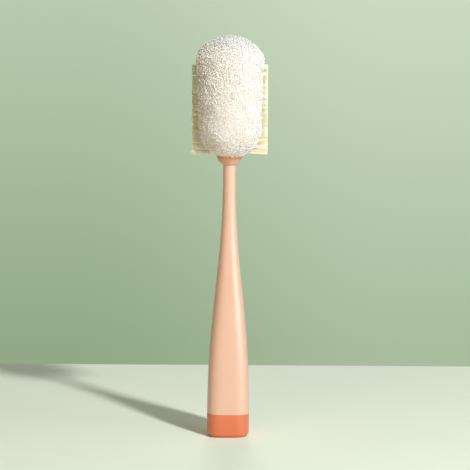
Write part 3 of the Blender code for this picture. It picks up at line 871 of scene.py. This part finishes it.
class Nodes:
    """A tree of shader nodes, with short ways to add to it. A value is a constant or a node's output."""

    def __init__(self, tree):
        self.nodes = tree.nodes
        self.links = tree.links

    def feed(self, socket, value):
        if isinstance(value, bpy.types.NodeSocket):
            self.links.new(value, socket)
        else:
            socket.default_value = value

    def split(self, vector):
        """The X, Y and Z of a vector."""
        node = self.nodes.new("ShaderNodeSeparateXYZ")
        self.links.new(vector, node.inputs["Vector"])
        return node.outputs

    def ranged(self, value, low, high, to_low=0, to_high=1, smooth=False):
        """value from low to high, stretched and held from to_low to to_high."""
        node = self.nodes.new("ShaderNodeMapRange")
        if smooth:
            node.interpolation_type = "SMOOTHSTEP"
        for name, socket in (("From Min", low), ("From Max", high), ("To Min", to_low), ("To Max", to_high)):
            node.inputs[name].default_value = socket
        self.links.new(value, node.inputs["Value"])
        return node.outputs["Result"]

    def maths(self, operation, first, second):
        node = self.nodes.new("ShaderNodeMath")
        node.operation = operation
        self.feed(node.inputs[0], first)
        self.feed(node.inputs[1], second)
        return node.outputs["Value"]

    def mixed(self, share, first, second):
        """The colour that share of the way from first to second gives."""
        node = self.nodes.new("ShaderNodeMix")
        node.data_type = "RGBA"
        self.links.new(share, node.inputs["Factor"])
        for socket, value in zip([s for s in node.inputs if s.type == "RGBA"], (first, second)):
            self.feed(socket, value)
        return next(s for s in node.outputs if s.type == "RGBA")

    def seen(self):
        """1 where the camera looks, straight or by way of a glossy or clear surface, and 0 for light that
        bounces."""
        ray = self.nodes.new("ShaderNodeLightPath").outputs
        either = self.maths("MAXIMUM", ray["Is Camera Ray"], ray["Is Glossy Ray"])
        return self.maths("MAXIMUM", either, ray["Is Transmission Ray"])


class Finish(Nodes):
    """A material, built node by node. Every pattern follows the piece's own coordinates, in metres."""

    def __init__(self, name, **constants):
        self.material = bpy.data.materials.new(name)
        self.material.use_nodes = True
        super().__init__(self.material.node_tree)
        self.shader = self.nodes["Principled BSDF"]
        self.place = self.nodes.new("ShaderNodeTexCoord").outputs["Object"]
        self.relief = None
        for socket, value in constants.items():
            self.shader.inputs[socket.replace("_", " ")].default_value = value

    def pattern(self, size, detail, stretch=(1, 1, 1)):
        """Cloudy noise with features of about the given size in metres."""
        mapping = self.nodes.new("ShaderNodeMapping")
        mapping.inputs["Scale"].default_value = [1 / (size * share) for share in stretch]
        texture = self.nodes.new("ShaderNodeTexNoise")
        texture.inputs["Scale"].default_value = 1
        texture.inputs["Detail"].default_value = detail
        self.links.new(self.place, mapping.inputs["Vector"])
        self.links.new(mapping.outputs["Vector"], texture.inputs["Vector"])
        return texture.outputs["Fac"]

    def varied(self, size, detail, low, high):
        """Cloudy noise, stretched so that it goes from low to high."""
        return self.ranged(self.pattern(size, detail), 0.3, 0.7, low, high)

    def tone(self):
        attribute = self.nodes.new("ShaderNodeAttribute")
        attribute.attribute_name = "tone"
        return attribute.outputs["Fac"]

    def height(self):
        return self.split(self.place)["Z"]

    def colour(self, value):
        self.links.new(value, self.shader.inputs["Base Color"])

    def roughness(self, value):
        self.links.new(value, self.shader.inputs["Roughness"])

    def bump(self, height, depth):
        node = self.nodes.new("ShaderNodeBump")
        node.inputs["Distance"].default_value = depth
        self.links.new(height, node.inputs["Height"])
        if self.relief:
            self.links.new(self.relief, node.inputs["Normal"])
        self.relief = node.outputs["Normal"]
        self.links.new(self.relief, self.shader.inputs["Normal"])


def plastic(name, colour, deep, gloss, wear_low, wear_high, rim=None):
    """Satin moulded plastic: faint mottling, fine spark grain, slow waves, hairline scuffs, and a part that
    handling has polished, more and more from one height to another. rim is the (low, high, colour) of a
    painted shade, a cast shadow, that fades in upwards."""
    finish = Finish(name, Subsurface_Weight=0.25, Subsurface_Radius=(1, 0.3, 0.12),
                    Subsurface_Scale=1.5 * MM, IOR=gloss, Specular_IOR_Level=0.9)
    mottling = finish.ranged(finish.pattern(22 * MM, detail=3), 0.35, 0.65)
    scuffs = finish.ranged(finish.pattern(0.35 * MM, detail=3, stretch=(1, 1, 14)), 0.66, 0.78)
    rub = finish.ranged(finish.height(), wear_low, wear_high)
    patches = finish.ranged(finish.pattern(6 * MM, detail=4), 0.45, 0.6)
    worn = finish.maths("MULTIPLY", rub, patches)
    strength = finish.maths("ADD", finish.maths("MULTIPLY", worn, 0.35), 0.05)
    scuffed = finish.maths("MULTIPLY", scuffs, strength)
    pale = tuple(min(1, share * 1.06 + 0.02) for share in colour[:3]) + (1,)
    base = finish.mixed(scuffed, finish.mixed(mottling, colour, deep), pale)
    # Painted shade that deepens upwards, standing for the shadow that the head casts on the cup.
    if rim:
        low, high, shade = rim
        base = finish.mixed(finish.ranged(finish.height(), low, high), base, shade)
    finish.colour(base)
    rough = finish.varied(3 * MM, detail=4, low=0.31, high=0.38)
    rough = finish.maths("SUBTRACT", rough, finish.maths("MULTIPLY", worn, 0.03))
    finish.roughness(finish.maths("ADD", rough, finish.maths("MULTIPLY", scuffed, 0.15)))
    finish.bump(finish.pattern(28 * MM, detail=1), depth=0.10 * MM)
    finish.bump(finish.pattern(0.28 * MM, detail=2), depth=0.006 * MM)
    return finish.material


def nylon():
    """Straw-coloured bristle nylon, which differs from strand to strand and a little along each."""
    finish = Finish("straw nylon")
    tone = finish.maths("ADD", finish.tone(), finish.varied(1.2 * MM, detail=2, low=-0.2, high=0.2))
    finish.colour(finish.mixed(tone, STRAW_DEEP, STRAW))
    finish.roughness(finish.varied(2 * MM, detail=2, low=0.32, high=0.46))
    finish.bump(finish.pattern(0.15 * MM, detail=1, stretch=(6, 1, 1)), depth=0.01 * MM)
    return finish.material


def filament():
    """The mesh's white filament, a little see-through, with a painted shade that greys it towards the crown.
    """
    finish = Finish("white filament", Subsurface_Weight=0.2, Subsurface_Radius=(1, 1, 1),
                    Subsurface_Scale=1.0 * MM)
    tone = finish.maths("ADD", finish.tone(), finish.varied(5 * MM, detail=3, low=-0.35, high=0.35))
    # Painted shade: the filament greys towards the top of the dome.
    crown = finish.ranged(finish.height(), PAD_TOP - CROWN_SHADE_FADE * DOME_HEIGHT, PAD_TOP)
    finish.colour(finish.mixed(crown, finish.mixed(tone, WHITE_WARM, WHITE), CROWN_PAINTED_SHADE))
    finish.roughness(finish.varied(1.5 * MM, detail=2, low=0.32, high=0.48))
    finish.bump(finish.pattern(0.3 * MM, detail=2), depth=0.02 * MM)
    return finish.material


def moulding():
    """The uncoloured plastic of the core and its thread."""
    finish = Finish("natural plastic", Subsurface_Weight=0.1, Subsurface_Scale=2 * MM)
    finish.colour(finish.mixed(finish.pattern(8 * MM, detail=3), NATURAL, NATURAL_DEEP))
    finish.roughness(finish.varied(2 * MM, detail=3, low=0.40, high=0.52))
    finish.bump(finish.pattern(0.3 * MM, detail=2), depth=0.008 * MM)
    return finish.material


def rubber():
    finish = Finish("grey silicone")
    finish.colour(finish.mixed(finish.pattern(3 * MM, detail=3), GREY, GREY_DEEP))
    finish.roughness(finish.varied(1 * MM, detail=3, low=0.55, high=0.70))
    finish.bump(finish.pattern(0.2 * MM, detail=2), depth=0.01 * MM)
    return finish.material


def dress(obj, body, slot, material, *nodes):
    obj.data.materials.append(material)
    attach(obj, body)
    if nodes:
        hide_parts(*nodes)
    return obj


def make_brush():
    # Heights between which the cup's painted shade, the head's shadow, fades in.
    rim_low, rim_high = (HEAD_BOTTOM + share * CUP_HEIGHT for share in CUP_PAINTED_SHADE_FADE)
    peach = plastic("peach plastic", PEACH, PEACH_DEEP, PEACH_GLOSS, HANDLE_WEAR, SHELL_BOTTOM)
    cup_peach = plastic("cup plastic", PEACH, PEACH_DEEP, PLAIN_GLOSS, HEAD_BOTTOM, HEAD_BOTTOM - CUP_HEIGHT,
                        rim=(rim_low, rim_high, CUP_RIM_PAINTED_SHADE))
    orange = plastic("orange plastic", ORANGE, ORANGE_DEEP, PLAIN_GLOSS, CAP_WEAR, 0)
    silicone = rubber()
    straw = nylon()
    white = filament()
    natural = moulding()
    dress(make_handle(), "handle", "handle", peach, "handle_shell")
    dress(make_base_cap(), "base", "base", orange, "end_cap")
    dress(make_cap_ring(), "base", "seal", silicone, "cap_seal")
    dress(make_neck_ring(), "thread", "seal", silicone, "neck_seal")
    dress(make_cup(), "head", "cup", cup_peach, "head_cup")
    dress(make_thread(), "head", "core", natural)
    dress(make_bristles("bristle_row_right", 1, SEED + 1), "head", "bristles", straw, "bristles_right")
    dress(make_bristles("bristle_row_left", -1, SEED + 2), "head", "bristles", straw, "bristles_left")
    dress(make_pad("mesh_pad_front", -1, SEED + 3), "head", "pads", white, "pad_front")
    dress(make_pad("mesh_pad_back", 1, SEED + 4), "head", "pads", white, "pad_back")
    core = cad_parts["head_core"]
    core.data.materials.clear()
    core.data.materials.append(natural)


def make_floor():
    """The pale table top, whose far edge is the line behind the brush. It deepens towards the lamps, where it
    would glare, and the light that it throws on the brush is warmer than its looks."""
    corners = [(-FLOOR_SIDE, FLOOR_FRONT, 0), (FLOOR_SIDE, FLOOR_FRONT, 0),
               (FLOOR_SIDE, FLOOR_BACK, 0), (-FLOOR_SIDE, FLOOR_BACK, 0)]
    mesh = bpy.data.meshes.new("floor")
    mesh.from_pydata(corners, [], [(0, 1, 2, 3)])
    floor = show(bpy.data.objects.new("floor", mesh))
    finish = Finish("pale table top", Roughness=0.8, Specular_IOR_Level=0.0)
    deep = tuple(share * FLOOR_MOTTLE for share in FLOOR[:3]) + (1,)
    looks = finish.mixed(finish.pattern(180 * MM, detail=3), FLOOR, deep)
    away = finish.nodes.new("ShaderNodeVectorMath")
    away.operation = "DOT_PRODUCT"
    finish.feed(away.inputs[0], finish.place)
    finish.feed(away.inputs[1], TOWARDS_LAMPS)
    looks = finish.mixed(finish.ranged(away.outputs["Value"], *FLOOR_FADE), looks, FLOOR_FAR)
    finish.colour(finish.mixed(finish.seen(), FLOOR_BOUNCE, looks))
    floor.data.materials.append(finish.material)


def make_light(lamp):
    light = bpy.data.lights.new(lamp.name, "AREA")
    light.size = lamp.size
    light.energy = lamp.power
    light.color = lamp.colour
    obj = show(bpy.data.objects.new(lamp.name, light))
    a, e = math.radians(lamp.azimuth), math.radians(lamp.elevation)
    way = Vector((math.sin(a) * math.cos(e), -math.cos(a) * math.cos(e), math.sin(e)))
    obj.location = Vector((0, 0, PAD_TOP / 2)) + way * lamp.distance
    obj.rotation_euler = way.to_track_quat("Z", "Y").to_euler()
    obj.visible_glossy = lamp.mirrored


def make_world():
    """Soft light from all round. The camera and glossy surfaces see the sage backdrop instead."""
    world = bpy.data.worlds.new("studio")
    bpy.context.scene.world = world
    world.use_nodes = True
    tree = Nodes(world.node_tree)
    light = tree.nodes["Background"]
    tree.feed(light.inputs["Color"], AMBIENT)
    tree.feed(light.inputs["Strength"], AMBIENT_STRENGTH)
    way = tree.split(tree.nodes.new("ShaderNodeTexCoord").outputs["Generated"])
    # Painted light and shade on the backdrop: darker low down and high up, paler towards +X.
    rise = tree.ranged(way["Z"], *WALL_RISE, WALL_LOW, 1)
    fall = tree.ranged(way["Z"], *WALL_FALL, 1, WALL_HIGH)
    across = tree.ranged(way["X"], -WALL_ACROSS, WALL_ACROSS, -WALL_TILT, WALL_TILT, smooth=True)
    paleness = tree.maths("ADD", tree.maths("MINIMUM", rise, fall), across)
    wall = tree.nodes.new("ShaderNodeBackground")
    tree.feed(wall.inputs["Color"], tree.mixed(paleness, WALL_DEEP, WALL_PALE))
    tree.feed(wall.inputs["Strength"], tree.ranged(way["Y"], *WALL_TURN, WALL_BEHIND, 1, smooth=True))
    choose = tree.nodes.new("ShaderNodeMixShader")
    tree.feed(choose.inputs["Fac"], tree.seen())
    tree.feed(choose.inputs[1], light.outputs["Background"])
    tree.feed(choose.inputs[2], wall.outputs["Background"])
    tree.feed(tree.nodes["World Output"].inputs["Surface"], choose.outputs["Shader"])


def make_camera():
    camera = bpy.data.cameras.new("camera")
    camera.lens = CAMERA_LENS
    camera.sensor_width = CAMERA_SENSOR
    camera.clip_end = CAMERA_FAR
    obj = show(bpy.data.objects.new("camera", camera))
    look = Matrix.Rotation(math.pi / 2 - CAMERA_PITCH, 4, "X") @ Matrix.Rotation(CAMERA_ROLL, 4, "Z")
    obj.matrix_world = Matrix.Translation((CAMERA_SIDE, -CAMERA_DISTANCE, CAMERA_HEIGHT)) @ look
    bpy.context.scene.camera = obj


make_camera()
make_floor()
for lamp in LAMPS:
    make_light(lamp)
make_world()
make_brush()

bpy.context.scene.view_settings.view_transform = "Standard"
